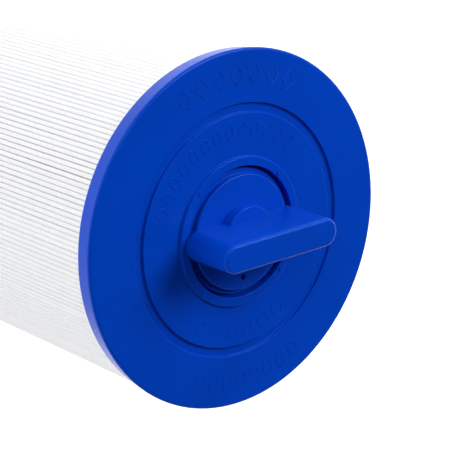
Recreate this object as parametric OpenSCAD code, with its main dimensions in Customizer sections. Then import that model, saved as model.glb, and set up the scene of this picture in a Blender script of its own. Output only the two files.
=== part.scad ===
// Pleated filter cartridge for a pool or spa skimmer.
// It stands upright on the end of its threaded nipple: +Z runs up its axis,
// X runs along the T-bar handle, and z = 0 is the nipple's end face.

/* [Cartridge] */
// Diameter of the two end caps
cap_d = 150.8; // [130:0.1:200]
// Length between the outer faces of the two end caps
body_l = 260; // [120:1:500]

/* [End caps] */
// Height of each end cap, from its outer face to the edge of its lip
cap_h = 8.7; // [7:0.1:14]
// Thickness of the cap between its outer face and the ends of the pleats
plate_t = 4.5; // [4:0.1:6]
// How much narrower the cap's radius is at the edge of its lip than at its face
cap_draft = 1.0; // [0.2:0.1:1.2]
// Radius of the rounded edge round the cap's face
edge_r = 1.1; // [0.3:0.1:2]
// Outer diameter of the shallow ring groove in the cap's face
ring_d = 106.4; // [90:0.1:120]
// Width of the shallow ring groove
ring_w = 3.9; // [2:0.1:6]
// Depth of the shallow ring groove
ring_depth = 1.2; // [0.4:0.1:2]

/* [Centre of the top cap] */
// Height of the raised pad round the handle's opening
pad_h = 1.4; // [0.6:0.1:1.6]
// How far the pad reaches outside the wall of the core
pad_lap = 0.2; // [0:0.1:3]
// How far the opening for the handle stays inside the bore of the core
opening_inset = 1.0; // [0.5:0.1:3]
// Diameter of each of the four nibs on the pad
nib_d = 2.2; // [1:0.1:3]
// Height of each nib above the pad
nib_h = 0.4; // [0.2:0.1:0.8]

/* [Handle] */
// Length of the T-bar
bar_l = 59.2; // [40:0.1:90]
// Thickness of the T-bar
bar_t = 12.2; // [8:0.1:20]
// Height of the T-bar's top above the cap's face
bar_top = 26.8; // [18:0.1:40]
// Radius of the rounded edge along the T-bar's top
bar_edge = 1.6; // [0.5:0.1:3]
// Diameter of the round boss under the T-bar
boss_d = 24.1; // [16:0.1:40]
// Height of the boss above the cap's face
boss_top = 6.9; // [3:0.1:12]
// Height of the handle's disc above the cap's face
disc_top = 1.8; // [1.7:0.1:3]
// Radius of the rounded edge of the disc
disc_edge = 0.6; // [0.2:0.1:1.5]
// Gap between the disc and the wall of the cap's opening
disc_gap = 3.3; // [2:0.1:5]
// Width of the deeper slot against the wall of the opening
slot_w = 1.2; // [0.6:0.1:1.8]
// Depth of the disc's shoulder below the cap's face
shoulder_depth = 0.6; // [0.2:0.1:1.5]
// Depth of the deeper slot below the cap's face
slot_depth = 3.0; // [2:0.1:3.4]
// How far the handle's root flange reaches under the cap
flange_lap = 2.4; // [1:0.1:2.8]
// Length of the stub that fills the top of the core
stub_l = 18; // [8:1:40]
// Wall of the hollow stub
stub_wall = 2.4; // [1.5:0.1:4]
// Thickness of the disc between its face and the hollow of the stub
disc_t = 5; // [3:0.1:6]
// Diameter of the small moulding hole in the disc
pip_d = 2.5; // [1:0.1:3]
// Depth of the small moulding hole
pip_depth = 2; // [1:0.1:3]
// Distance of the moulding hole from the edge of the disc
pip_inset = 5; // [3:0.1:6]

/* [Pleated media] */
// Number of pleats
pleats = 218; // [80:1:225]
// Thickness of the media sheet
media_t = 0.42; // [0.3:0.01:0.43]
// How far the pleat tips lie inside the face diameter of the cap
media_inset = 1.7; // [1.6:0.1:3]
// Radial gap between the core and the inner folds
fold_gap = 0.4; // [0.1:0.1:1]

/* [Seam] */
// Radial width of the bonded seam strip
seam_w = 9.5; // [5:0.5:14]
// Distance of the seam strip from the pleat tips
seam_inset = 2.5; // [1:0.5:4]
// Where the seam lies, counted in degrees round the axis from the handle
seam_angle = 315; // [0:5:355]

/* [Core] */
// Outer diameter of the perforated core
core_d = 62.4; // [61:0.1:80]
// Wall of the core
core_wall = 2.6; // [2:0.1:4]
// Number of windows round the core
core_cols = 16; // [8:2:24]
// Width of each window
window_w = 6.5; // [3:0.1:7]
// Height of each window
window_h = 11; // [5:1:30]
// Height of the solid rib between two rows of windows
rib_h = 5; // [2:0.5:12]

/* [Threaded nipple] */
// Outside diameter of the pipe thread
thread_d = 48.3; // [40:0.1:50]
// Pitch of the pipe thread
thread_pitch = 2.209; // [1.5:0.001:3]
// Depth of the thread
thread_depth = 1.5; // [0.8:0.1:1.8]
// Number of thread turns
thread_turns = 9; // [6:1:12]
// Length of the plain neck between the cap and the thread
neck_l = 3; // [2:0.5:6]
// Length of the plain nose below the thread
nose_l = 2.1; // [1:0.1:5]
// Wall of the nipple between the water way and the root of the thread
nipple_wall = 3.15; // [1.5:0.05:5]

/* [Fits] */
// Clearance between a stub and the bore of the core
stub_fit = 0.2; // [0.05:0.05:0.4]
// Clearance between the cap's lip and the pleat tips
lip_fit = 0.05; // [0.02:0.01:0.1]
// Clearance between the seam strip and the pleats on each side of it
seam_fit = 0.02; // [0.01:0.01:0.04]

/* [Hidden] */
$fn = 96;
// Facets of the smallest rounds
small_fn = 24;

blue = [0.0, 0.22, 0.72];
white = [0.95, 0.95, 0.96];
grey = [0.86, 0.87, 0.88];

cap_r = cap_d / 2;
core_r = core_d / 2;
core_bore_r = core_r - core_wall;
media_r = cap_r - media_inset;
lip_r = media_r + lip_fit;
fold_r = core_r + fold_gap;
stub_r = core_bore_r - stub_fit;

opening_r = core_bore_r - opening_inset;
pad_r = core_r + pad_lap;
disc_r = opening_r - disc_gap;
shoulder_r = opening_r - slot_w;
flange_r = opening_r + flange_lap;

nipple_l = neck_l + thread_turns * thread_pitch + nose_l;
root_r = thread_d / 2 - thread_depth;
bore_r = root_r - nipple_wall;
bottom_z = nipple_l;
top_z = bottom_z + body_l;
media_z0 = bottom_z + plate_t;
media_z1 = top_z - plate_t;
media_l = media_z1 - media_z0;

flange_t = plate_t - slot_depth;
pleat_a = 360 / pleats;
// Small overlap of shapes that join, and how far a cut runs past a face
eps = 0.01;
over = 1;

// A point at a radius and an angle
function polar(r, a) = [r * cos(a), r * sin(a)];

// The angle that half the sheet's thickness takes up at a radius
function half_sheet(r) = asin(media_t / 2 / r);

// A rectangle from the axis outwards whose upper outer corner is rounded
module rounded_profile(r, h, edge) {
    square([r, h - edge]);
    square([r - edge, h]);
    translate([r - edge, h - edge]) circle(edge);
}

// Half of the cap's section, face upwards, with the outer face at y = 0
module cap_section(hole_r) {
    difference() {
        union() {
            translate([hole_r, -edge_r]) square([cap_r - edge_r - hole_r, edge_r]);
            translate([cap_r - edge_r, -edge_r]) circle(edge_r);
            polygon([[hole_r, -edge_r], [hole_r, -plate_t], [lip_r, -plate_t], [lip_r, -cap_h],
                     [cap_r - cap_draft, -cap_h], [cap_r, -edge_r]]);
        }
        translate([ring_d / 2 - ring_w, -ring_depth]) square([ring_w, ring_depth + over]);
    }
}

// The cast cap that closes the top, open in the middle for the handle
module top_end_cap() {
    color(blue) translate([0, 0, top_z]) {
        difference() {
            union() {
                rotate_extrude() cap_section(opening_r);
                rotate_extrude() translate([opening_r, -eps]) square([pad_r - opening_r, pad_h + eps]);
            }
            // Seat of the handle's root flange
            translate([0, 0, -plate_t - over]) cylinder(r = flange_r, h = flange_t + over);
        }
        for (a = [45:90:315])
            rotate([0, 0, a]) translate([(opening_r + pad_r) / 2, 0, pad_h - eps])
                cylinder(d = nib_d, h = nib_h + eps, $fn = small_fn);
    }
}

// The T-bar with round ends and a rounded top edge, standing at z = 0
module bar() {
    bar_h = bar_top - disc_top;
    reach = (bar_l - bar_t) / 2;
    for (side = [-1, 1])
        translate([side * reach, 0, 0])
            rotate_extrude() rounded_profile(bar_t / 2, bar_h, bar_edge);
    translate([-reach, 0, 0]) rotate([90, 0, 90])
        linear_extrude(2 * reach) {
            rounded_profile(bar_t / 2, bar_h, bar_edge);
            mirror([1, 0]) rounded_profile(bar_t / 2, bar_h, bar_edge);
        }
}

// The moulded handle: T-bar, boss and disc above, root flange and stub below
module handle_insert() {
    color(blue) translate([0, 0, top_z])
        difference() {
            union() {
                translate([0, 0, disc_top]) bar();
                cylinder(d = boss_d, h = boss_top);
                rotate_extrude() translate([0, -slot_depth])
                    rounded_profile(disc_r, disc_top + slot_depth, disc_edge);
                translate([0, 0, -plate_t]) cylinder(r = shoulder_r, h = plate_t - shoulder_depth);
                translate([0, 0, -plate_t]) cylinder(r = flange_r, h = flange_t);
                translate([0, 0, -plate_t - stub_l]) cylinder(r = stub_r, h = stub_l + eps);
            }
            translate([0, 0, -plate_t - stub_l - over])
                cylinder(r = stub_r - stub_wall, h = plate_t + stub_l + over + disc_top - disc_t);
            translate([0, pip_inset - disc_r, disc_top - pip_depth])
                cylinder(d = pip_d, h = pip_depth + over, $fn = small_fn);
        }
}

// Outline of the side of the sheet that faces outwards
function outer_side() = [for (i = [0:pleats - 1]) each [
    polar(media_r, (i - 0.25) * pleat_a - half_sheet(media_r)),
    polar(media_r, (i + 0.25) * pleat_a + half_sheet(media_r)),
    polar(fold_r + media_t, (i + 0.25) * pleat_a + half_sheet(fold_r)),
    polar(fold_r + media_t, (i + 0.75) * pleat_a - half_sheet(fold_r))]];

// Outline of the side of the sheet that faces the core
function inner_side() = [for (i = [0:pleats - 1]) each [
    polar(media_r - media_t, (i - 0.25) * pleat_a + half_sheet(media_r)),
    polar(media_r - media_t, (i + 0.25) * pleat_a - half_sheet(media_r)),
    polar(fold_r, (i + 0.25) * pleat_a - half_sheet(fold_r)),
    polar(fold_r, (i + 0.75) * pleat_a + half_sheet(fold_r))]];

// The pleated sheet, folded out to the tips and back to the core
module pleated_media() {
    color(white) translate([0, 0, media_z0])
        linear_extrude(media_l) difference() {
            polygon(outer_side());
            polygon(inner_side());
        }
}

// The bonded strip that joins the two ends of the sheet, in one gap between pleats
module seam_strip() {
    inner_r = media_r - seam_inset - seam_w;
    seam_t = 2 * (inner_r * sin(pleat_a / 4) - media_t / 2 - seam_fit);
    gap = floor(seam_angle / pleat_a) + 0.5;
    color(white) rotate([0, 0, gap * pleat_a])
        translate([inner_r, -seam_t / 2, media_z0])
            cube([seam_w, seam_t, media_l]);
}

// The perforated tube inside the pleats
module core_tube() {
    row_pitch = window_h + rib_h;
    rows = floor((media_l - rib_h) / row_pitch);
    first = media_z0 + (media_l - rows * row_pitch - rib_h) / 2 + rib_h;
    color(white) difference() {
        translate([0, 0, media_z0]) cylinder(r = core_r, h = media_l);
        translate([0, 0, media_z0 - over]) cylinder(r = core_bore_r, h = media_l + 2 * over);
        for (row = [0:rows - 1], col = [0:core_cols / 2 - 1])
            translate([0, 0, first + row * row_pitch]) rotate([0, 0, col * 360 / core_cols])
                translate([-core_r - over, -window_w / 2, 0])
                    cube([2 * (core_r + over), window_w, window_h]);
    }
}

// The cast cap that closes the bottom, open in the middle for the nipple
module bottom_end_cap() {
    color(blue) translate([0, 0, bottom_z]) mirror([0, 0, 1])
        difference() {
            rotate_extrude() cap_section(opening_r);
            translate([0, 0, -plate_t - over]) cylinder(r = flange_r, h = flange_t + over);
        }
}

// Ridges of the pipe thread, one for each turn
module thread_section() {
    half_crest = thread_pitch / 8;
    for (turn = [0:thread_turns - 1])
        translate([root_r, turn * thread_pitch])
            polygon([[-over, 0], [0, 0], [thread_depth, thread_pitch / 2 - half_crest],
                     [thread_depth, thread_pitch / 2 + half_crest],
                     [0, thread_pitch], [-over, thread_pitch]]);
}

// The moulded outlet: threaded nipple below, root flange and stub above, bored through
module threaded_nipple() {
    color(grey) difference() {
        union() {
            cylinder(r = root_r, h = nipple_l + eps);
            rotate_extrude() translate([0, nose_l]) thread_section();
            translate([0, 0, nipple_l]) cylinder(r = opening_r, h = slot_depth + eps);
            translate([0, 0, nipple_l + slot_depth]) cylinder(r = flange_r, h = flange_t);
            translate([0, 0, media_z0 - eps]) cylinder(r = stub_r, h = stub_l + eps);
        }
        translate([0, 0, -over])
            cylinder(r = bore_r, h = nipple_l + plate_t + stub_l + 2 * over);
    }
}

top_end_cap();
handle_insert();
pleated_media();
seam_strip();
core_tube();
bottom_end_cap();
threaded_nipple();
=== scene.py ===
"""Pleated filter cartridge for pools and spas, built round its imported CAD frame."""

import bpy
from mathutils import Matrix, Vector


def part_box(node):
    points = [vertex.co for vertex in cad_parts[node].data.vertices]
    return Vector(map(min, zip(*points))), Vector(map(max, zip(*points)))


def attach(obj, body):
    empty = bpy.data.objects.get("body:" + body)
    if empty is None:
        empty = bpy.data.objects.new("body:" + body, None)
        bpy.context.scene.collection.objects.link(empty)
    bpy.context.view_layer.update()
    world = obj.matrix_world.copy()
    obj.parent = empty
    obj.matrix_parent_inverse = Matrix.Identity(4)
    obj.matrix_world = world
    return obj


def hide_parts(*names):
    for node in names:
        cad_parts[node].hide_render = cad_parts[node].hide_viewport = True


bl_info = {
    "name": "Filter Cartridge",
    "version": (1, 0, 0),
    "blender": (4, 5, 0),
    "location": "3D View > Sidebar > Cartridge",
    "description": "Builds the visible pieces and finishes of a pleated filter cartridge",
    "category": "Add Mesh",
}

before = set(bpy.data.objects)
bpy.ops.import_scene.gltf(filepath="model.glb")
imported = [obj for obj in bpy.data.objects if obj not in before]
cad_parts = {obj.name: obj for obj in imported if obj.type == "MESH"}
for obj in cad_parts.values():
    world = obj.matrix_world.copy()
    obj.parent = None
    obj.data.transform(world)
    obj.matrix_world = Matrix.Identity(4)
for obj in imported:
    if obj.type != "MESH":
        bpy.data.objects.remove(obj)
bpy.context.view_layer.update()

import math

import bmesh
import bpy
from bpy.props import FloatProperty, FloatVectorProperty, IntProperty, PointerProperty
from mathutils import Matrix, Vector, noise

CAP_LOW, CAP_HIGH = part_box("top_end_cap")
FOOT_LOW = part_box("bottom_end_cap")[0]
MEDIA_LOW, MEDIA_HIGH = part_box("pleated_media")
SEAM_LOW, SEAM_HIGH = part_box("seam_strip")
CORE_LOW, CORE_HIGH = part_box("core_tube")
NIPPLE_LOW, NIPPLE_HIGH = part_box("threaded_nipple")

ROUND_STEPS = 192
ARC_STEPS = 4
SHARP_ANGLE = math.radians(35)
MERGE_DISTANCE = 2e-6
# A flat side gets an extra point this far from a rounded corner, so it shades flat
HOLD = 0.00035
# Rounding of the pad's outer edge, in roundings of the small steps
PAD_ROUNDING = 1.3
# How far the T-bar reaches into the disc, so that the two join, and faces over its edges
BAR_BITE = 0.00005
BAR_ARC = 6
# Sharp edges of the pleated sheet, whose folds are tight
FOLD_ANGLE = math.radians(70)
# Facets of the round pieces that are too small for ROUND_STEPS
NIB_STEPS, PIP_STEPS, CORE_STEPS = 20, 24, 96
# Half sizes of the seam bond, points round it and rows up it
SEAM_HALF_WIDTH, SEAM_HALF_THICK = 0.0043, 0.0002
SEAM_POINTS, SEAM_ROWS = 12, 60
# How far the seam bond strays, the share by which its width swells, and how fast up its length
SEAM_STRAY, SEAM_SWELL = 0.0006, 0.35
STRAY_RATE, SWELL_RATE = 90.0, 60.0
# Power that makes the bond's section boxy: 1 is an ellipse
SEAM_POWER = 0.5
# Steps in the pleats' noise from one pleat to another, up a pleat and between the two strays
PLEAT_STEP, RISE_STEP, STRAY_STEP = 900.0, 9.0, 50.0
# A tip strays this much more sideways than outwards
SIDEWAYS = 2.2
# Middle value of a noise
NOISE_MIDDLE = 0.5
# Part of the pitch over which the thread fades out at each end
THREAD_FADE = 0.7
# Depth from the tips at which the painted shade in a fold is full, and the colour of that painted
# shade
FOLD_DEPTH = 0.005
FOLD_SHADE_COLOUR = (0.84, 0.87, 0.85, 1.0)
# Sheen of the blue plastic, chosen here; a real one has an index of about 1.5 and no tint
BLUE_INDEX = 1.22
BLUE_TINT = (0.45, 0.75, 1.0, 1.0)
# The camera's axes, and its place from the centre of the cap's face in cap radii
VIEW_RIGHT = Vector((0.7640, -0.0274, 0.6444))
VIEW_UP = Vector((0.2204, 0.9497, -0.2208))
VIEW_BACK = Vector((-0.6061, 0.3107, 0.7321))
VIEW_PLACE = Vector((-6.0412, 3.0931, 7.192)) + 0.0098 * VIEW_UP - 0.0055 * VIEW_RIGHT
SENSOR_WIDTH = 36.0
# Heights of a view direction between which the surroundings darken
DUSK_LOW, DUSK_HIGH = 0.12, 0.5


# ---------------------------------------------------------------- sizes and colours

def length(name, description, default):
    return FloatProperty(name=name, description=description, default=default,
                         min=0.0, unit="LENGTH", precision=5)


def colour(name, description, default):
    return FloatVectorProperty(name=name, description=description, default=default,
                               size=4, min=0.0, max=1.0, subtype="COLOR")


def level(name, description, default):
    return FloatProperty(name=name, description=description, default=default, min=0.0)


class CapSizes(bpy.types.PropertyGroup):
    """Sizes of the two cast end caps"""
    radius: length("Radius", "Radius of a cap at its face", CAP_HIGH.x)
    height: length("Height", "From the face to the edge of the lip", 0.0087)
    plate: length("Plate", "Thickness between the face and the pleats", 0.0045)
    draft: length("Draft", "How much narrower the lip's edge is", 0.001)
    edge: length("Edge", "Rounded edge of the face", 0.0011)
    lip: length("Lip", "Inner radius of the lip", CAP_HIGH.x - 0.00165)
    corner: length("Corner", "Rounding of the small steps", 0.0003)
    ring_outer: length("Ring outer", "Outer radius of the shallow ring groove", 0.0532)
    ring_inner: length("Ring inner", "Inner radius of the shallow ring groove", 0.0493)
    ring_depth: length("Ring depth", "Depth of the shallow ring groove", 0.0012)
    pad_outer: length("Pad outer", "Outer radius of the raised pad", 0.0314)
    pad_height: length("Pad height", "Height of the raised pad", 0.0014)
    opening: length("Opening", "Radius of the central opening", 0.0276)
    seat: length("Seat", "Radius of the seat under the opening", 0.03)
    seat_depth: length("Seat depth", "Depth of the seat below the face", 0.003)
    nib_radius: length("Nib radius", "Radius of a nib on the pad", 0.0011)
    nib_height: length("Nib height", "Height of a nib above the pad", 0.0004)
    nib_circle: length("Nib circle", "Distance of the nibs from the axis", 0.0295)
    nibs: IntProperty(name="Nibs", description="Number of nibs on the pad", default=4, min=1)


class MarkSizes(bpy.types.PropertyGroup):
    """Sizes of the plain raised marks on the top cap"""
    stroke: length("Stroke", "Width of a raised line", 0.00062)
    height: length("Height", "Height of a raised line", 0.00022)
    outer_circle: length("Outer circle", "Radius of the rows on the rim", 0.0648)
    inner_circle: length("Inner circle", "Radius of the rows inside the ring", 0.0424)


class HandleSizes(bpy.types.PropertyGroup):
    """Sizes of the moulded handle"""
    bar_length: length("Bar length", "Length of the T-bar", 0.0592)
    bar_width: length("Bar width", "Thickness of the T-bar", 0.0122)
    bar_top: length("Bar top", "Height of the T-bar above the cap's face", 0.0268)
    bar_edge: length("Bar edge", "Rounded edge round the T-bar's top", 0.0016)
    bar_foot: length("Bar foot", "Rounded edge round the T-bar's underside", 0.0003)
    boss_radius: length("Boss radius", "Radius of the boss under the T-bar", 0.01205)
    boss_top: length("Boss top", "Height of the boss above the cap's face", 0.0069)
    boss_edge: length("Boss edge", "Rounded edge of the boss", 0.0005)
    disc_radius: length("Disc radius", "Radius of the disc", 0.0243)
    disc_top: length("Disc top", "Height of the disc above the cap's face", 0.0018)
    disc_edge: length("Disc edge", "Rounded edge of the disc", 0.0006)
    disc_floor: length("Disc thickness", "From the disc's face to the hollow below", 0.005)
    shoulder_radius: length("Shoulder radius", "Radius of the shoulder round the disc", 0.0264)
    shoulder_depth: length("Shoulder depth", "Depth of the shoulder below the cap's face", 0.0006)
    stub_radius: length("Stub radius", "Radius of the stub inside the core", 0.0284)
    stub_length: length("Stub length", "Length of the stub below the cap", 0.018)
    stub_wall: length("Stub wall", "Wall of the hollow stub", 0.0024)
    pip_radius: length("Pip radius", "Radius of the small moulding hole", 0.00125)
    pip_depth: length("Pip depth", "Depth of the small moulding hole", 0.002)
    pip_place: length("Pip place", "Distance of the moulding hole from the axis", 0.0193)


class PleatSizes(bpy.types.PropertyGroup):
    """Sizes of the pleated sheet"""
    count: IntProperty(name="Pleats", description="Number of pleats", default=218, min=3)
    sheet: length("Sheet", "Thickness of the sheet", 0.00042)
    outer: length("Outer", "Radius of the pleat tips", CAP_HIGH.x - 0.0017)
    inner: length("Inner", "Radius of the inner folds", 0.0316)
    tip: length("Tip", "Rounding of a pleat's tip", 0.00045)
    gap: length("Gap", "Gap between neighbouring tips", 0.00014)
    wobble: length("Wobble", "How far a tip strays from its even place", 0.00016)
    levels: IntProperty(name="Levels", description="Rows of faces up a pleat", default=7, min=1)
    seed: IntProperty(name="Seed", description="Seed of the pleats' unevenness", default=7)


class CoreSizes(bpy.types.PropertyGroup):
    """Sizes of the perforated core"""
    outer: length("Outer", "Outer radius of the core", CORE_HIGH.x)
    wall: length("Wall", "Wall of the core", 0.0026)
    columns: IntProperty(name="Columns", description="Windows round the core", default=16, min=3)
    rows: IntProperty(name="Rows", description="Rows of windows", default=15, min=1)
    window_width: length("Window width", "Width of a window", 0.0065)
    window_height: length("Window height", "Height of a window", 0.011)
    window_corner: length("Window corner", "Rounding of a window's corners", 0.0012)
    rib: length("Rib", "Height of the solid rib between rows", 0.005)


class NippleSizes(bpy.types.PropertyGroup):
    """Sizes of the threaded outlet nipple"""
    bore: length("Bore", "Radius of the water way", 0.0195)
    root: length("Root", "Radius at the root of the thread", 0.02265)
    depth: length("Thread depth", "Height of the thread above its root", 0.0015)
    pitch: length("Pitch", "Rise of the thread in one turn", 0.002209)
    turns: IntProperty(name="Turns", description="Number of thread turns", default=9, min=1)
    nose: length("Nose", "Plain length below the thread", 0.0021)


class FinishColours(bpy.types.PropertyGroup):
    """Colours of the finishes"""
    cap: colour("Cap", "Cast blue of the end caps", (0.0, 0.055, 0.54, 1.0))
    handle: colour("Handle", "Moulded blue of the handle", (0.0, 0.056, 0.545, 1.0))
    media: colour("Media", "White of the pleated sheet", (0.93, 0.935, 0.955, 1.0))
    core: colour("Core", "White of the core", (0.82, 0.83, 0.84, 1.0))
    nipple: colour("Nipple", "Off-white of the nipple", (0.76, 0.77, 0.78, 1.0))
    seam: colour("Seam", "Hot-melt bond", (0.86, 0.85, 0.79, 1.0))
    floor: colour("Floor", "Pale studio floor", (0.92, 0.92, 0.92, 1.0))


class StageSizes(bpy.types.PropertyGroup):
    """Camera, floor and lights"""
    lens: FloatProperty(name="Lens", description="Focal length in millimetres", default=146.0)
    floor: length("Floor", "Half the width of the floor", 30.0)
    key: level("Key", "Power of the main softbox in watts", 18.0)
    near: level("Near", "Power of the strip light beside the camera in watts", 4.0)
    side: level("Side", "Power of the softbox beside the media in watts", 4.0)
    horizon: level("Horizon", "Brightness of the surroundings low down", 1.0)
    sky: level("Sky", "Brightness of the surroundings overhead", 0.06)
    floor_glow: level("Floor glow", "Light that the white floor gives back by itself", 0.8)


# ---------------------------------------------------------------- node trees

class Wire:
    """A node's output socket: arithmetic on it adds Math nodes, node() adds any other node."""

    def __init__(self, tree, socket=None):
        self.tree = tree
        self.socket = socket

    def node(self, kind, settings=None, inputs=None, output=0):
        made = self.tree.nodes.new(kind)
        for name, value in (settings or {}).items():
            if name == "stops":
                self.set_stops(made.color_ramp, value)
            else:
                setattr(made, name, value)
        for name, value in (inputs or {}).items():
            if isinstance(value, Wire):
                self.tree.links.new(value.socket, made.inputs[name])
            else:
                made.inputs[name].default_value = value
        return Wire(self.tree, made.outputs[output])

    @staticmethod
    def set_stops(ramp, stops):
        while len(ramp.elements) < len(stops):
            ramp.elements.new(1.0)
        for element, (place, value) in zip(ramp.elements, stops):
            element.position = place
            element.color = (value, value, value, 1.0)

    def maths(self, operation, *values):
        return self.node("ShaderNodeMath", {"operation": operation}, dict(enumerate(values)))

    def __add__(self, other):
        return self.maths("ADD", self, other)

    def __radd__(self, other):
        return self.maths("ADD", other, self)

    def __sub__(self, other):
        return self.maths("SUBTRACT", self, other)

    def __rsub__(self, other):
        return self.maths("SUBTRACT", other, self)

    def __mul__(self, other):
        return self.maths("MULTIPLY", self, other)

    def __rmul__(self, other):
        return self.maths("MULTIPLY", other, self)

    def __truediv__(self, other):
        return self.maths("DIVIDE", self, other)

    def blend(self, low, high):
        """The colour between two, by this factor."""
        return self.node("ShaderNodeMix", {"data_type": "RGBA"}, {0: self, 6: low, 7: high}, 2)

    def ramp(self, *stops):
        return self.node("ShaderNodeValToRGB", {"stops": stops}, {"Fac": self})

    def parts(self):
        """The x, y and z of a vector."""
        split = self.node("ShaderNodeSeparateXYZ", inputs={"Vector": self}).socket.node
        return [Wire(self.tree, socket) for socket in split.outputs]


def new_tree(name, inputs):
    """An empty geometry tree and the wires of its inputs by name."""
    tree = bpy.data.node_groups.new(name, "GeometryNodeTree")
    face = tree.interface
    face.new_socket("Geometry", in_out="INPUT", socket_type="NodeSocketGeometry")
    face.new_socket("Geometry", in_out="OUTPUT", socket_type="NodeSocketGeometry")
    for label, kind in inputs.items():
        face.new_socket(label, in_out="INPUT", socket_type="NodeSocket" + kind)
    face.new_socket("Material", in_out="INPUT", socket_type="NodeSocketMaterial")
    start = tree.nodes.new("NodeGroupInput")
    return {socket.name: Wire(tree, socket) for socket in start.outputs if socket.name}


def close_tree(wires, geometry):
    """Ends a geometry tree: plain mesh, smooth faces, one material."""
    plain = geometry.node("GeometryNodeRealizeInstances", inputs={"Geometry": geometry})
    smooth = plain.node("GeometryNodeSetShadeSmooth", inputs={"Geometry": plain})
    done = smooth.node("GeometryNodeSetMaterial",
                       inputs={"Geometry": smooth, "Material": wires["Material"]})
    tree = geometry.tree
    end = tree.nodes.new("NodeGroupOutput")
    tree.links.new(done.socket, end.inputs["Geometry"])
    return tree


def grow(piece, tree, values):
    """Runs a geometry tree on a piece and keeps the result as its plain mesh."""
    modifier = piece.modifiers.new("grow", "NODES")
    modifier.node_group = tree
    for item in tree.interface.items_tree:
        if item.in_out == "INPUT" and item.name in values:
            modifier[item.identifier] = values[item.name]
    settle(piece)


# ---------------------------------------------------------------- meshes

def settle(piece):
    """Replaces a piece's mesh with what its modifiers make of it."""
    graph = bpy.context.evaluated_depsgraph_get()
    made = bpy.data.meshes.new_from_object(piece.evaluated_get(graph), depsgraph=graph)
    piece.modifiers.clear()
    old, piece.data = piece.data, made
    bpy.data.meshes.remove(old)
    made.name = piece.name


def heal(piece, sharp=SHARP_ANGLE):
    """Merges doubles, turns the faces outwards and shades them smooth between sharp edges."""
    work = bmesh.new()
    work.from_mesh(piece.data)
    bmesh.ops.remove_doubles(work, verts=work.verts, dist=MERGE_DISTANCE)
    bmesh.ops.dissolve_degenerate(work, edges=work.edges, dist=MERGE_DISTANCE)
    bmesh.ops.recalc_face_normals(work, faces=work.faces)
    for face in work.faces:
        face.smooth = True
    work.to_mesh(piece.data)
    work.free()
    piece.data.set_sharp_from_angle(angle=sharp)


def new_piece(name, points, faces):
    mesh = bpy.data.meshes.new(name)
    mesh.from_pydata(points, [], faces)
    piece = bpy.data.objects.new(name, mesh)
    bpy.context.scene.collection.objects.link(piece)
    return piece


def rounded(corners, closed=True):
    """An outline of (r, z, rounding) corners with its corners rounded off."""
    outline = []
    for i, (r, z, radius) in enumerate(corners):
        here = Vector((r, z))
        if not radius:
            outline.append(here)
            continue
        before = (Vector(corners[i - 1][:2]) - here).normalized()
        after = (Vector(corners[(i + 1) % len(corners)][:2]) - here).normalized()
        half = before.angle(after) / 2
        centre = here + (before + after).normalized() * radius / math.sin(half)
        first = here + before * radius / math.tan(half) - centre
        last = here + after * radius / math.tan(half) - centre
        sweep = math.pi - 2 * half
        for k in range(ARC_STEPS + 1):
            t = k / ARC_STEPS
            outline.append(centre + (first * math.sin((1 - t) * sweep)
                                     + last * math.sin(t * sweep)) / math.sin(sweep))
    held = []
    for i, here in enumerate(outline):
        held.append(here)
        if i == len(outline) - 1 and not closed:
            break
        step = outline[(i + 1) % len(outline)] - here
        if step.length > 4 * HOLD:
            held += [here + step.normalized() * HOLD, here + step - step.normalized() * HOLD]
    return held


def lathe(outline, closed=True, steps=ROUND_STEPS):
    """Points and faces of an (r, z) outline turned round the Z axis."""
    size = len(outline)
    points, faces = [], []
    for step in range(steps):
        turn = 2 * math.pi * step / steps
        points += [(r * math.cos(turn), r * math.sin(turn), z) for r, z in outline]
        here, there = step * size, (step + 1) % steps * size
        for i in range(size if closed else size - 1):
            j = (i + 1) % size
            faces.append((here + i, there + i, there + j, here + j))
    return points, faces


def turned_piece(name, corners):
    """A closed piece turned on the lathe from rounded corners."""
    piece = new_piece(name, *lathe(rounded(corners)))
    heal(piece)
    return piece


def stack_loops(loops):
    """Points and faces of a closed skin through equal loops, with flat ends."""
    size = len(loops[0])
    points = [point for loop in loops for point in loop]
    faces = [tuple(range(size)), tuple(range(len(points) - size, len(points)))]
    for row in range(len(loops) - 1):
        for i in range(size):
            j = (i + 1) % size
            low, high = row * size, (row + 1) * size
            faces.append((low + i, low + j, high + j, high + i))
    return points, faces


def combine(piece, other, operation):
    """Joins another piece to this one, or cuts it out of this one."""
    modifier = piece.modifiers.new("combine", "BOOLEAN")
    modifier.solver = "MANIFOLD"
    modifier.operation = operation
    modifier.object = other
    settle(piece)
    bpy.data.objects.remove(other)


def dress(piece, slot, material, *nodes):
    """Gives a piece its finish and its place in the frame."""
    piece.data.materials.clear()
    piece.data.materials.append(material)
    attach(piece, "root")
    if nodes:
        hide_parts(*nodes)


# ---------------------------------------------------------------- finishes

def new_finish(name):
    """A new material, its shader's sockets and a wire with its object coordinates."""
    material = bpy.data.materials.new(name)
    material.use_nodes = True
    tree = material.node_tree
    place = Wire(tree).node("ShaderNodeTexCoord", output="Object")
    return material, tree.nodes["Principled BSDF"].inputs, place


def mottle(place, scale, detail=2.0, spread=0.5):
    return place.node("ShaderNodeTexNoise", {"noise_dimensions": "3D"},
                      {"Vector": place, "Scale": scale, "Detail": detail, "Roughness": spread})


def feed(shader, name, wire):
    wire.tree.links.new(wire.socket, shader[name])


def relief(height, strength, distance):
    return height.node("ShaderNodeBump", inputs={"Height": height, "Strength": strength,
                                                 "Distance": distance}, output="Normal")


def tinted(base, amount):
    return tuple(min(1.0, part * amount) for part in base[:3]) + (1.0,)


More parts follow.
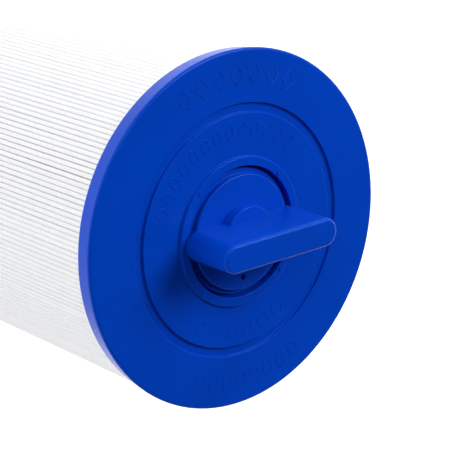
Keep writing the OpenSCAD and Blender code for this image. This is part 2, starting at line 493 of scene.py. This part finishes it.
def blue_plastic(name, base, roughness, swell):
    """Satin coloured plastic: faint clouds, soft waves in the skin and rare pin holes."""
    material, shader, place = new_finish(name)
    cloud = mottle(place, 24.0, 3.0)
    feed(shader, "Base Color", cloud.ramp((0.3, 0.0), (0.7, 1.0))
         .blend(tinted(base, 0.93), tinted(base, 1.06)))
    feed(shader, "Roughness", roughness + 0.10 * mottle(place, 130.0))
    cells = place.node("ShaderNodeTexVoronoi", inputs={"Vector": place, "Scale": 90.0})
    pin_hole = cells.ramp((0.018, 1.0), (0.03, 0.0))
    skin = swell * mottle(place, 55.0, 1.0) + 0.05 * mottle(place, 900.0, 2.0) - 0.25 * pin_hole
    feed(shader, "Normal", relief(skin, 0.35, 0.0006))
    shader["IOR"].default_value = BLUE_INDEX
    shader["Specular Tint"].default_value = BLUE_TINT
    return material


def spun_media(name, base, tip_radius):
    """Spunbonded sheet: fibre marks, uneven density, and painted shade, a greyer green, deep in
    the folds.
    """
    material, shader, place = new_finish(name)
    x, y, _ = place.parts()
    radius = (x * x + y * y).maths("SQRT", x * x + y * y)
    # Painted shade: the sheet turns greyer and greener towards the inner folds, where shade falls
    depth = (tip_radius - radius) / FOLD_DEPTH
    shade = depth.ramp((0.0, 0.0), (1.0, 1.0))
    density = mottle(place, 260.0, 4.0, 0.6)
    tone = place.node("ShaderNodeAttribute", {"attribute_name": "pleat_tone"}, output="Fac")
    worn = (0.55 * density + 0.45 * tone).ramp((0.25, 0.0), (0.8, 1.0))
    sheet = worn.blend(tinted(base, 0.955), base)
    feed(shader, "Base Color", shade.blend(sheet, FOLD_SHADE_COLOUR))
    feed(shader, "Roughness", 0.78 + 0.15 * density)
    fibres = mottle(place, 1900.0, 3.0, 0.7)
    feed(shader, "Normal", relief(0.6 * fibres + 0.4 * density, 0.3, 0.00015))
    shader["Specular IOR Level"].default_value = 0.15
    shader["Sheen Weight"].default_value = 0.05
    return material


def plain_moulding(name, base, roughness, grain):
    """Uncoloured moulded plastic with flow clouds and a fine mould texture."""
    material, shader, place = new_finish(name)
    flow = mottle(place, 40.0, 3.0)
    feed(shader, "Base Color", flow.ramp((0.3, 0.0), (0.7, 1.0))
         .blend(tinted(base, 0.94), tinted(base, 1.03)))
    feed(shader, "Roughness", roughness + 0.12 * mottle(place, 300.0))
    feed(shader, "Normal", relief(0.6 * flow + grain * mottle(place, 1400.0), 0.25, 0.0003))
    shader["Specular IOR Level"].default_value = 0.4
    return material


def hot_melt(name, base):
    """Milky bond line with small blisters."""
    material, shader, place = new_finish(name)
    blister = mottle(place, 420.0, 3.0)
    feed(shader, "Base Color", blister.blend(tinted(base, 0.9), base))
    feed(shader, "Roughness", 0.35 + 0.3 * blister)
    feed(shader, "Normal", relief(blister, 0.4, 0.0004))
    return material


def studio_floor(name, base, glow):
    """Pale matt floor that also gives back a little light of its own."""
    material, shader, place = new_finish(name)
    cloud = mottle(place, 0.7, 2.0)
    feed(shader, "Base Color", cloud.blend(tinted(base, 0.985), base))
    feed(shader, "Roughness", 0.8 + 0.1 * cloud)
    shader["Specular IOR Level"].default_value = 0.1
    shader["Emission Color"].default_value = (1.0, 1.0, 1.0, 1.0)
    shader["Emission Strength"].default_value = glow
    return material


def shared(name, maker, *values):
    """A finish by name, made the first time that it is asked for."""
    return bpy.data.materials.get(name) or maker(name, *values)


def cap_finish(scene):
    return shared("cast_cap_blue", blue_plastic, scene.cartridge_finish.cap, 0.20, 0.9)


# ---------------------------------------------------------------- operators

def cap_section(cap, face, inwards, middle):
    """A cap's outline from its seat to its lip, with heights counted inwards from its face."""
    small = cap.corner
    # The slanted side is carried up to the face, so that its rounded edge reaches the radius
    shoulder = cap.radius + cap.draft * cap.edge / (cap.height - cap.edge)
    section = [
        (cap.seat, cap.plate, 0), (cap.seat, cap.seat_depth, 0),
        (cap.opening, cap.seat_depth, 0), *middle,
        (cap.ring_inner, 0, small), (cap.ring_inner, cap.ring_depth, small),
        (cap.ring_outer, cap.ring_depth, small), (cap.ring_outer, 0, small),
        (shoulder, 0, cap.edge), (cap.radius - cap.draft, cap.height, small),
        (cap.lip, cap.height, 0), (cap.lip, cap.plate, 0)]
    return [(r, face + inwards * z, rounding) for r, z, rounding in section]


def top_face(cap):
    """Height of the top cap's face, under the pad and its nibs."""
    return CAP_HIGH.z - cap.pad_height - cap.nib_height


class CARTRIDGE_OT_top_cap(bpy.types.Operator):
    """Turns the top end cap with its ring groove and raised pad"""
    bl_idname = "cartridge.top_cap"
    bl_label = "Top End Cap"

    def execute(self, context):
        cap = context.scene.cartridge_cap
        pad = [(cap.opening, -cap.pad_height, cap.corner),
               (cap.pad_outer, -cap.pad_height, PAD_ROUNDING * cap.corner),
               (cap.pad_outer, 0, cap.corner)]
        piece = turned_piece("cast_top_cap", cap_section(cap, top_face(cap), -1, pad))
        dress(piece, "cap_blue", cap_finish(context.scene), "top_end_cap")
        return {"FINISHED"}


class CARTRIDGE_OT_bottom_cap(bpy.types.Operator):
    """Turns the bottom end cap"""
    bl_idname = "cartridge.bottom_cap"
    bl_label = "Bottom End Cap"

    def execute(self, context):
        cap = context.scene.cartridge_cap
        rim = [(cap.opening, 0, cap.corner)]
        piece = turned_piece("cast_bottom_cap", cap_section(cap, FOOT_LOW.z, 1, rim))
        dress(piece, "cap_blue", cap_finish(context.scene), "bottom_end_cap")
        return {"FINISHED"}


def ring_tree():
    """A tree that stands copies of a shape evenly round the axis."""
    wires = new_tree("ring_of_copies", {"Copies": "Int", "Radius": "Float", "First": "Float",
                                        "Step": "Float", "Height": "Float"})
    start = wires["Geometry"]
    index = start.node("GeometryNodeInputIndex")
    turn = wires["First"] + index * wires["Step"]
    place = start.node("ShaderNodeCombineXYZ", inputs={
        "X": turn.maths("COSINE", turn) * wires["Radius"],
        "Y": turn.maths("SINE", turn) * wires["Radius"], "Z": wires["Height"]})
    points = start.node("GeometryNodePoints", inputs={"Count": wires["Copies"], "Position": place})
    copies = start.node("GeometryNodeInstanceOnPoints", inputs={
        "Points": points, "Instance": start,
        "Rotation": start.node("ShaderNodeCombineXYZ", inputs={"Z": turn})})
    return close_tree(wires, copies)


class CARTRIDGE_OT_nibs(bpy.types.Operator):
    """Stands the moulded nibs on the pad of the top cap"""
    bl_idname = "cartridge.nibs"
    bl_label = "Pad Nibs"

    def execute(self, context):
        cap = context.scene.cartridge_cap
        root = CAP_HIGH.z - cap.nib_height
        edge = cap.nib_height / 3
        dimple, dimple_floor = 0.45 * cap.nib_radius, cap.nib_height / 4
        corners = [(0, -cap.nib_height, 0), (cap.nib_radius, -cap.nib_height, 0),
                   (cap.nib_radius, cap.nib_height, edge), (dimple, cap.nib_height, 0),
                   (0, dimple_floor, 0)]
        piece = new_piece("pad_nibs", *lathe(rounded(corners), steps=NIB_STEPS))
        heal(piece)
        material = cap_finish(context.scene)
        quarter = 2 * math.pi / cap.nibs
        grow(piece, ring_tree(), {"Copies": cap.nibs, "Radius": cap.nib_circle,
                                  "First": quarter / 2, "Step": quarter, "Height": root,
                                  "Material": material})
        heal(piece)
        dress(piece, "cap_blue", material)
        return {"FINISHED"}


def mark_shape(sides, half_length, half_width, stroke, height):
    """Points and faces of a raised line with a round top that follows a closed shape."""
    bead = 8
    loops = []
    for i in range(sides):
        turn = 2 * math.pi * i / sides
        spine = Vector((half_length * math.cos(turn), half_width * math.sin(turn), 0))
        out = Vector((half_width * math.cos(turn), half_length * math.sin(turn), 0)).normalized()
        loops.append([spine + out * stroke / 2 * math.cos(2 * math.pi * k / bead)
                      + Vector((0, 0, height * math.sin(2 * math.pi * k / bead)))
                      for k in range(bead)])
    points = [point for loop in loops for point in loop]
    faces = [(i * bead + k, i * bead + (k + 1) % bead,
              (i + 1) % sides * bead + (k + 1) % bead, (i + 1) % sides * bead + k)
             for i in range(sides) for k in range(bead)]
    return points, faces


class CARTRIDGE_OT_marks(bpy.types.Operator):
    """Lays rows of plain raised marks on the top cap"""
    bl_idname = "cartridge.marks"
    bl_label = "Raised Marks"

    def execute(self, context):
        cap = context.scene.cartridge_cap
        mark = context.scene.cartridge_mark
        face = top_face(cap)
        material = cap_finish(context.scene)
        tree = ring_tree()
        # name, sides, half length, half width, circle, middle, step, copies
        rows = (("lozenge_row", 4, 0.0043, 0.0030, mark.outer_circle, 89, 8.2, 7),
                ("oval_row", 20, 0.0040, 0.0022, mark.outer_circle, 272, 6.6, 8),
                ("bead_row", 16, 0.0030, 0.0018, mark.inner_circle, 104, 9.0, 13),
                ("circle_row", 16, 0.0030, 0.0026, mark.inner_circle, 268, 11.5, 6))
        for name, sides, reach, width, circle, middle, step, copies in rows:
            piece = new_piece(name, *mark_shape(sides, reach, width, mark.stroke, mark.height))
            grow(piece, tree, {"Copies": copies, "Radius": circle,
                               "First": math.radians(middle - step * (copies - 1) / 2),
                               "Step": math.radians(step), "Height": face, "Material": material})
            heal(piece)
            dress(piece, "cap_blue", material)
        return {"FINISHED"}


def stadium(half_straight, radius, z, steps=18):
    """A loop of two half circles joined by straights, along X."""
    loop = []
    for side in (1, -1):
        for k in range(steps + 1):
            turn = math.pi * (k / steps - 0.5) + (0 if side > 0 else math.pi)
            loop.append(Vector((side * half_straight + radius * math.cos(turn),
                                radius * math.sin(turn), z)))
    return loop


class CARTRIDGE_OT_handle(bpy.types.Operator):
    """Builds the moulded handle: disc, boss, T-bar, shoulder and hollow stub"""
    bl_idname = "cartridge.handle"
    bl_label = "Handle"

    def execute(self, context):
        cap = context.scene.cartridge_cap
        part = context.scene.cartridge_handle
        face = top_face(cap)
        hollow = part.stub_radius - part.stub_wall
        small = cap.corner
        root = [
            (0, part.disc_top, 0), (part.disc_radius, part.disc_top, part.disc_edge),
            (part.disc_radius, -part.shoulder_depth, 0.5 * small),
            (part.shoulder_radius, -part.shoulder_depth, 0.7 * small),
            (part.shoulder_radius, -cap.seat_depth, 0), (cap.seat, -cap.seat_depth, 0),
            (cap.seat, -cap.plate, 0), (part.stub_radius, -cap.plate, 0),
            (part.stub_radius, -cap.plate - part.stub_length, small),
            (hollow, -cap.plate - part.stub_length, small),
            (hollow, part.disc_top - part.disc_floor, small),
            (0, part.disc_top - part.disc_floor, 0)]
        piece = turned_piece("t_bar_handle", [(r, face + z, f) for r, z, f in root])
        boss = [(0, part.boss_top, 0), (part.boss_radius, part.boss_top, part.boss_edge),
                (part.boss_radius, part.disc_top / 2, 0), (0, part.disc_top / 2, 0)]
        combine(piece, turned_piece("boss", [(r, face + z, f) for r, z, f in boss]), "UNION")
        combine(piece, self.bar(part, face), "UNION")
        pip = new_piece("pip", *lathe([(0, face + part.disc_top - part.pip_depth),
                                       (part.pip_radius, face + part.disc_top - part.pip_depth),
                                       (part.pip_radius, face + part.boss_top),
                                       (0, face + part.boss_top)],
                                      steps=PIP_STEPS))
        pip.data.transform(Matrix.Translation((0, -part.pip_place, 0)))
        heal(pip)
        combine(piece, pip, "DIFFERENCE")
        heal(piece)
        finish = shared("moulded_handle_blue", blue_plastic,
                        context.scene.cartridge_finish.handle, 0.24, 0.5)
        dress(piece, "handle_blue", finish, "handle_insert")
        return {"FINISHED"}

    def bar(self, part, face):
        """The T-bar, let a hair into the disc so that the two join."""
        half_straight = (part.bar_length - part.bar_width) / 2
        low, high = face + part.disc_top - BAR_BITE, face + part.bar_top
        profile = []
        for edge, end, outwards in ((part.bar_foot, low, 1), (part.bar_edge, high, -1)):
            rows = []
            for k in range(BAR_ARC + 1):
                turn = math.pi / 2 * k / BAR_ARC
                rows.append((edge * (1 - math.sin(turn)),
                             end + outwards * edge * (1 - math.cos(turn))))
            rows.insert(0, (edge + HOLD, end))
            profile += rows + [(0, rows[-1][1] + outwards * HOLD)] if outwards > 0 else (
                [(0, rows[-1][1] + outwards * HOLD)] + rows[::-1])
        loops = [stadium(half_straight, part.bar_width / 2 - inset, z) for inset, z in profile]
        piece = new_piece("bar", *stack_loops(loops))
        heal(piece)
        return piece


# A pleat's leg: part of its length, share of its spread towards the neighbouring tip
PLEAT_LEG = ((0.4, 0.0), (0.75, 0.0), (0.93, 0.5), (1.0, 1.0))


def pleat_spine(sizes):
    """Middle line of the sheet over one pleat, from inner fold to inner fold."""
    pitch = 2 * math.pi / sizes.count
    half = sizes.sheet / 2
    fold = (sizes.inner + half) / (1 - math.sin(pitch / 4))
    bend = fold * math.sin(pitch / 4)
    turn = Matrix.Rotation(-pitch / 2, 2)
    side = [turn @ Vector((fold - bend * math.cos(t), bend * math.sin(t)))
            for t in (0, math.pi / 6, math.pi / 3, math.pi / 2)]
    tip_end = sizes.outer - half
    leg_end = tip_end - sizes.tip
    # The legs run straight out, then spread until the tips almost touch
    spread = pitch / 4 - (half + sizes.gap / 2) / sizes.outer
    for part, share in PLEAT_LEG:
        turn = pitch / 4 + share * spread
        side.append((fold + (leg_end - fold) * part) * Vector((math.cos(turn), -math.sin(turn))))
    corner = side[-1] + Vector((0, sizes.tip))
    side += [corner + sizes.tip * Vector((math.sin(t), -math.cos(t)))
             for t in (math.pi / 6, math.pi / 3, math.pi / 2)]
    other = [Vector((point.x, -point.y)) for point in reversed(side)]
    return side + other


def one_pleat(sizes):
    """Points and faces of one pleat of the thick sheet, open where it meets its neighbours."""
    pitch = 2 * math.pi / sizes.count
    spine = pleat_spine(sizes)
    last = len(spine) - 1
    edges = []
    for i, point in enumerate(spine):
        if i in (0, last):
            out = point.normalized()
        else:
            along = (spine[i + 1] - spine[i - 1]).normalized()
            out = Vector((along.y, -along.x))
        edges.append((point + out * sizes.sheet / 2, point - out * sizes.sheet / 2))
    row = [pair[0] for pair in edges] + [pair[1] for pair in reversed(edges)]
    size = len(row)
    points, faces = [], []
    for k in range(sizes.levels + 1):
        z = MEDIA_LOW.z + (MEDIA_HIGH.z - MEDIA_LOW.z) * k / sizes.levels
        points += [(point.x, point.y, z) for point in row]
    for k in range(sizes.levels):
        low, high = k * size, (k + 1) * size
        faces += [(low + i, low + i + 1, high + i + 1, high + i)
                  for i in range(size - 1) if i != last]
    for base in (0, sizes.levels * size):
        faces += [(base + i, base + i + 1, base + size - 2 - i, base + size - 1 - i)
                  for i in range(last)]
    return points, faces


def pleat_tree():
    """A tree that sets one pleat round the axis and lets the tips stray a little."""
    wires = new_tree("pleats", {"Pleats": "Int", "Inner": "Float", "Outer": "Float",
                                "Wobble": "Float", "Seed": "Int"})
    start = wires["Geometry"]
    index = start.node("GeometryNodeInputIndex")
    turn = index * (2 * math.pi) / wires["Pleats"]
    points = start.node("GeometryNodePoints", inputs={"Count": wires["Pleats"]})
    copies = start.node("GeometryNodeInstanceOnPoints", inputs={
        "Points": points, "Instance": start,
        "Rotation": start.node("ShaderNodeCombineXYZ", inputs={"Z": turn})})
    tone = start.node("FunctionNodeRandomValue", {"data_type": "FLOAT"},
                      {"ID": index, "Seed": wires["Seed"]}, 1)
    toned = start.node("GeometryNodeStoreNamedAttribute",
                       {"data_type": "FLOAT", "domain": "INSTANCE"},
                       {"Geometry": copies, "Name": "pleat_tone", "Value": tone})
    plain = start.node("GeometryNodeRealizeInstances", inputs={"Geometry": toned})
    joined = start.node("GeometryNodeMergeByDistance",
                        inputs={"Geometry": plain, "Distance": MERGE_DISTANCE})
    place = start.node("GeometryNodeInputPosition")
    x, y, z = place.parts()
    radius = (x * x + y * y).maths("SQRT", x * x + y * y)
    reach = start.node("ShaderNodeMapRange", {"interpolation_type": "SMOOTHSTEP"}, {
        "Value": radius, "From Min": wires["Inner"], "From Max": wires["Outer"]})
    own_tone = start.node("GeometryNodeInputNamedAttribute", {"data_type": "FLOAT"},
                          {"Name": "pleat_tone"})
    stray = []
    for row in (0.0, STRAY_STEP):
        where = start.node("ShaderNodeCombineXYZ", inputs={
            "X": own_tone * PLEAT_STEP + row, "Y": z * RISE_STEP, "Z": wires["Seed"] * 1.0})
        stray.append((start.node("ShaderNodeTexNoise", inputs={
            "Vector": where, "Scale": 1.0, "Detail": 1.0}) - NOISE_MIDDLE)
                     * reach * wires["Wobble"])
    sideways = stray[0] * SIDEWAYS / radius
    outwards = (stray[1] - NOISE_MIDDLE * wires["Wobble"]) * reach / radius
    offset = start.node("ShaderNodeCombineXYZ", inputs={
        "X": x * outwards - y * sideways, "Y": y * outwards + x * sideways})
    moved = start.node("GeometryNodeSetPosition", inputs={"Geometry": joined, "Offset": offset})
    return close_tree(wires, moved)


class CARTRIDGE_OT_pleats(bpy.types.Operator):
    """Folds the pleated media round the core"""
    bl_idname = "cartridge.pleats"
    bl_label = "Pleated Media"

    def execute(self, context):
        sizes = context.scene.cartridge_pleat
        base = context.scene.cartridge_finish.media
        material = shared("spun_media", spun_media, base, sizes.outer)
        piece = new_piece("pleat_pack", *one_pleat(sizes))
        grow(piece, pleat_tree(), {"Pleats": sizes.count, "Inner": sizes.inner,
                                   "Outer": sizes.outer, "Wobble": sizes.wobble,
                                   "Seed": sizes.seed, "Material": material})
        heal(piece, FOLD_ANGLE)
        dress(piece, "media", material, "pleated_media")
        return {"FINISHED"}


class CARTRIDGE_OT_seam(bpy.types.Operator):
    """Lays the hot-melt bond that closes the pleated sheet into a ring"""
    bl_idname = "cartridge.seam"
    bl_label = "Seam Bond"

    def execute(self, context):
        middle = (SEAM_LOW + SEAM_HIGH) / 2
        turn = math.atan2(middle.y, middle.x)
        out = Vector((math.cos(turn), math.sin(turn), 0))
        side = Vector((-math.sin(turn), math.cos(turn), 0))
        radius = math.hypot(middle.x, middle.y)
        loops = []
        for k in range(SEAM_ROWS + 1):
            z = SEAM_LOW.z + (SEAM_HIGH.z - SEAM_LOW.z) * k / SEAM_ROWS
            stray = noise.noise(Vector((3.0, 0.0, z * STRAY_RATE)))
            swell = 1 + SEAM_SWELL * noise.noise(Vector((9.0, 0.0, z * SWELL_RATE)))
            loop = []
            for step in range(SEAM_POINTS):
                t = 2 * math.pi * step / SEAM_POINTS
                across = (SEAM_HALF_WIDTH * swell * abs(math.cos(t)) ** SEAM_POWER
                          * math.copysign(1, math.cos(t)))
                thick = (SEAM_HALF_THICK * abs(math.sin(t)) ** SEAM_POWER
                         * math.copysign(1, math.sin(t)))
                loop.append(out * (radius + SEAM_STRAY * stray + across) + side * thick
                            + Vector((0, 0, z)))
            loops.append(loop)
        piece = new_piece("seam_bond", *stack_loops(loops))
        heal(piece)
        dress(piece, "seam", shared("hot_melt_seam", hot_melt,
                                    context.scene.cartridge_finish.seam), "seam_strip")
        return {"FINISHED"}


def window_tree():
    """A tree that cuts rows of rounded windows through a tube's wall."""
    wires = new_tree("tube_windows", {
        "Columns": "Int", "Rows": "Int", "Width": "Float", "Window height": "Float",
        "Corner": "Float", "Rise": "Float", "Lowest": "Float", "Inside": "Float",
        "Outside": "Float"})
    start = wires["Geometry"]
    outline = start.node("GeometryNodeCurvePrimitiveQuadrilateral", inputs={
        "Width": wires["Width"], "Height": wires["Window height"]})
    soft = start.node("GeometryNodeFilletCurve", {"mode": "POLY"}, {
        "Curve": outline, "Radius": wires["Corner"], "Count": 4})
    line = start.node("GeometryNodeCurvePrimitiveLine", inputs={
        "Start": start.node("ShaderNodeCombineXYZ", inputs={"Z": wires["Inside"]}),
        "End": start.node("ShaderNodeCombineXYZ", inputs={"Z": wires["Outside"]})})
    prism = start.node("GeometryNodeCurveToMesh", inputs={
        "Curve": line, "Profile Curve": soft, "Fill Caps": True})
    # From standing on Z to lying along X, with the window's height up Z
    cutter = start.node("GeometryNodeTransform", inputs={
        "Geometry": prism, "Rotation": (0.0, math.pi / 2, 0.0)})
    index = start.node("GeometryNodeInputIndex")
    row = (index / wires["Columns"]).maths("FLOOR", index / wires["Columns"])
    column = index - row * wires["Columns"]
    points = start.node("GeometryNodePoints", inputs={
        "Count": wires["Columns"] * wires["Rows"],
        "Position": start.node("ShaderNodeCombineXYZ", inputs={
            "Z": wires["Lowest"] + row * wires["Rise"]})})
    copies = start.node("GeometryNodeInstanceOnPoints", inputs={
        "Points": points, "Instance": cutter,
        "Rotation": start.node("ShaderNodeCombineXYZ", inputs={
            "Z": column * (2 * math.pi) / wires["Columns"]})})
    cutters = start.node("GeometryNodeRealizeInstances", inputs={"Geometry": copies})
    cut = start.node("GeometryNodeMeshBoolean", {"operation": "DIFFERENCE", "solver": "MANIFOLD"},
                     {"Mesh 1": start, "Mesh 2": cutters})
    return close_tree(wires, cut)


class CARTRIDGE_OT_core(bpy.types.Operator):
    """Turns the core and cuts its windows"""
    bl_idname = "cartridge.core"
    bl_label = "Perforated Core"

    def execute(self, context):
        core = context.scene.cartridge_core
        material = shared("core_plastic", plain_moulding,
                          context.scene.cartridge_finish.core, 0.45, 0.4)
        inner = core.outer - core.wall
        piece = new_piece("perforated_core", *lathe(
            [(inner, CORE_LOW.z), (core.outer, CORE_LOW.z), (core.outer, CORE_HIGH.z),
             (inner, CORE_HIGH.z)], steps=CORE_STEPS))
        heal(piece)
        rise = core.window_height + core.rib
        spare = CORE_HIGH.z - CORE_LOW.z - core.rows * rise - core.rib
        lowest = CORE_LOW.z + spare / 2 + core.rib + core.window_height / 2
        grow(piece, window_tree(), {
            "Columns": core.columns, "Rows": core.rows, "Width": core.window_height,
            "Window height": core.window_width, "Corner": core.window_corner, "Rise": rise,
            "Lowest": lowest, "Inside": inner - core.wall, "Outside": core.outer + core.wall,
            "Material": material})
        heal(piece)
        dress(piece, "core", material, "core_tube")
        return {"FINISHED"}


# The thread's section over one pitch: part of the pitch, part of the depth
THREAD_FORM = ((0.0, 0.0), (0.05, 0.07), (0.335, 0.92), (0.375, 1.0),
               (0.625, 1.0), (0.665, 0.92), (0.95, 0.07))


def thread_skin(sizes, low, high, steps):
    """Points and faces of a right-hand thread between two heights, fading out at both."""
    rows = [(turn + part, rise)
            for turn in range(-1, sizes.turns + 1) for part, rise in THREAD_FORM]
    fade = THREAD_FADE * sizes.pitch
    points, faces = [], []
    for step in range(steps + 1):
        turn = 2 * math.pi * step / steps
        for place, rise in rows:
            z = min(max(low + sizes.pitch * (place + step / steps), low), high)
            part = min(1.0, (z - low) / fade, (high - z) / fade)
            radius = sizes.root + sizes.depth * rise * part
            points.append((radius * math.cos(turn), radius * math.sin(turn), z))
    size = len(rows)
    for step in range(steps):
        for i in range(size - 1):
            base = step * size + i
            faces.append((base, base + size, base + size + 1, base + 1))
    return points, faces


class CARTRIDGE_OT_nipple(bpy.types.Operator):
    """Turns the outlet nipple and runs its pipe thread"""
    bl_idname = "cartridge.nipple"
    bl_label = "Threaded Nipple"

    def execute(self, context):
        cap = context.scene.cartridge_cap
        part = context.scene.cartridge_nipple
        stub = context.scene.cartridge_handle.stub_radius
        low = part.nose
        high = low + part.turns * part.pitch
        face = FOOT_LOW.z
        small = cap.corner
        corners = [
            (part.root, high, 0), (part.root, face, small), (cap.opening, face, small),
            (cap.opening, face + cap.seat_depth, 0), (cap.seat, face + cap.seat_depth, 0),
            (cap.seat, face + cap.plate, 0), (stub, face + cap.plate, 0),
            (stub, NIPPLE_HIGH.z, 2 * small), (part.bore, NIPPLE_HIGH.z, 2 * small),
            (part.bore, NIPPLE_LOW.z, 2 * small), (part.root, NIPPLE_LOW.z, 2 * small),
            (part.root, low, 0)]
        points, faces = lathe(rounded(corners, closed=False), closed=False)
        more_points, more_faces = thread_skin(part, low, high, ROUND_STEPS)
        shift = len(points)
        faces += [tuple(i + shift for i in face) for face in more_faces]
        piece = new_piece("outlet_nipple", points + more_points, faces)
        heal(piece)
        dress(piece, "nipple", shared("nipple_plastic", plain_moulding,
                                      context.scene.cartridge_finish.nipple, 0.28, 0.15),
              "threaded_nipple")
        return {"FINISHED"}


def softbox(name, place, target, width, height, power):
    lamp = bpy.data.lights.new(name, "AREA")
    lamp.shape = "RECTANGLE"
    lamp.size, lamp.size_y = width, height
    lamp.energy = power
    box = bpy.data.objects.new(name, lamp)
    bpy.context.scene.collection.objects.link(box)
    box.location = place
    box.rotation_euler = (target - place).to_track_quat("-Z", "Y").to_euler()
    box.visible_camera = False


class CARTRIDGE_OT_stage(bpy.types.Operator):
    """Sets the floor, the surroundings, the softboxes and the camera"""
    bl_idname = "cartridge.stage"
    bl_label = "Studio Stage"

    def execute(self, context):
        scene = context.scene
        stage = scene.cartridge_stage
        reach = stage.floor
        floor = new_piece("studio_floor", [(-reach, -reach, 0), (reach, -reach, 0),
                                           (reach, reach, 0), (-reach, reach, 0)], [(0, 1, 2, 3)])
        floor.data.materials.append(shared("pale_floor", studio_floor,
                                           scene.cartridge_finish.floor, stage.floor_glow))
        self.surroundings(scene, stage)
        centre = Vector((0, 0, CAP_LOW.z + scene.cartridge_cap.height))
        # name, place to the right, up and back from the cap's face, width, height, power
        boxes = (("key_box", (1.22, 0.64, 0.59), 0.8, 0.8, stage.key),
                 ("near_box", (0.24, 0.61, 1.46), 0.12, 1.0, stage.near),
                 ("side_box", (-1.30, -0.35, 0.55), 0.8, 0.8, stage.side))
        for name, (across, rise, near), width, height, power in boxes:
            place = centre + VIEW_RIGHT * across + VIEW_UP * rise + VIEW_BACK * near
            softbox(name, place, centre, width, height, power)
        lens = bpy.data.cameras.new("camera")
        lens.lens = stage.lens
        lens.sensor_width = SENSOR_WIDTH
        lens.clip_end = 4 * reach
        camera = bpy.data.objects.new("camera", lens)
        scene.collection.objects.link(camera)
        turn = Matrix((VIEW_RIGHT, VIEW_UP, VIEW_BACK)).transposed().to_4x4()
        camera.matrix_world = Matrix.Translation(centre + CAP_HIGH.x * VIEW_PLACE) @ turn
        scene.camera = camera
        scene.view_settings.view_transform = "Standard"
        return {"FINISHED"}

    def surroundings(self, scene, stage):
        """A pale horizon that darkens overhead."""
        world = bpy.data.worlds.new("studio")
        world.use_nodes = True
        scene.world = world
        tree = world.node_tree
        shader = tree.nodes["Background"].inputs
        _, _, height = Wire(tree).node("ShaderNodeTexCoord", output="Generated").parts()
        dusk = height.node("ShaderNodeMapRange", {"interpolation_type": "SMOOTHSTEP"}, {
            "Value": height, "From Min": DUSK_LOW, "From Max": DUSK_HIGH,
            "To Min": stage.horizon, "To Max": stage.sky})
        feed(shader, "Strength", dusk)
        shader["Color"].default_value = (1.0, 1.0, 1.0, 1.0)


# ---------------------------------------------------------------- panel and registration

GROUPS = (("cartridge_cap", "End Caps", CapSizes), ("cartridge_mark", "Marks", MarkSizes),
          ("cartridge_handle", "Handle", HandleSizes), ("cartridge_pleat", "Pleats", PleatSizes),
          ("cartridge_core", "Core", CoreSizes), ("cartridge_nipple", "Nipple", NippleSizes),
          ("cartridge_finish", "Finishes", FinishColours),
          ("cartridge_stage", "Stage", StageSizes))
OPERATORS = (CARTRIDGE_OT_top_cap, CARTRIDGE_OT_bottom_cap, CARTRIDGE_OT_nibs,
             CARTRIDGE_OT_marks, CARTRIDGE_OT_handle, CARTRIDGE_OT_pleats, CARTRIDGE_OT_seam,
             CARTRIDGE_OT_core, CARTRIDGE_OT_nipple, CARTRIDGE_OT_stage)


class CARTRIDGE_PT_panel(bpy.types.Panel):
    """Lists the cartridge's sizes and the pieces that can be built"""
    bl_idname = "CARTRIDGE_PT_panel"
    bl_label = "Filter Cartridge"
    bl_space_type = "VIEW_3D"
    bl_region_type = "UI"
    bl_category = "Cartridge"

    def draw(self, context):
        for operator in OPERATORS:
            self.layout.operator(operator.bl_idname)
        for attribute, label, group in GROUPS:
            box = self.layout.box()
            box.label(text=label)
            for name in group.__annotations__:
                box.prop(getattr(context.scene, attribute), name)


def register():
    for _, _, group in GROUPS:
        bpy.utils.register_class(group)
    for kind in OPERATORS + (CARTRIDGE_PT_panel,):
        bpy.utils.register_class(kind)
    for attribute, _, group in GROUPS:
        setattr(bpy.types.Scene, attribute, PointerProperty(type=group))


def unregister():
    for attribute, _, _ in GROUPS:
        delattr(bpy.types.Scene, attribute)
    for kind in reversed(OPERATORS + (CARTRIDGE_PT_panel,)):
        bpy.utils.unregister_class(kind)
    for _, _, group in reversed(GROUPS):
        bpy.utils.unregister_class(group)


def main():
    register()
    for operator in OPERATORS:
        group, name = operator.bl_idname.split(".")
        getattr(getattr(bpy.ops, group), name)()


if __name__ == "__main__":
    main()
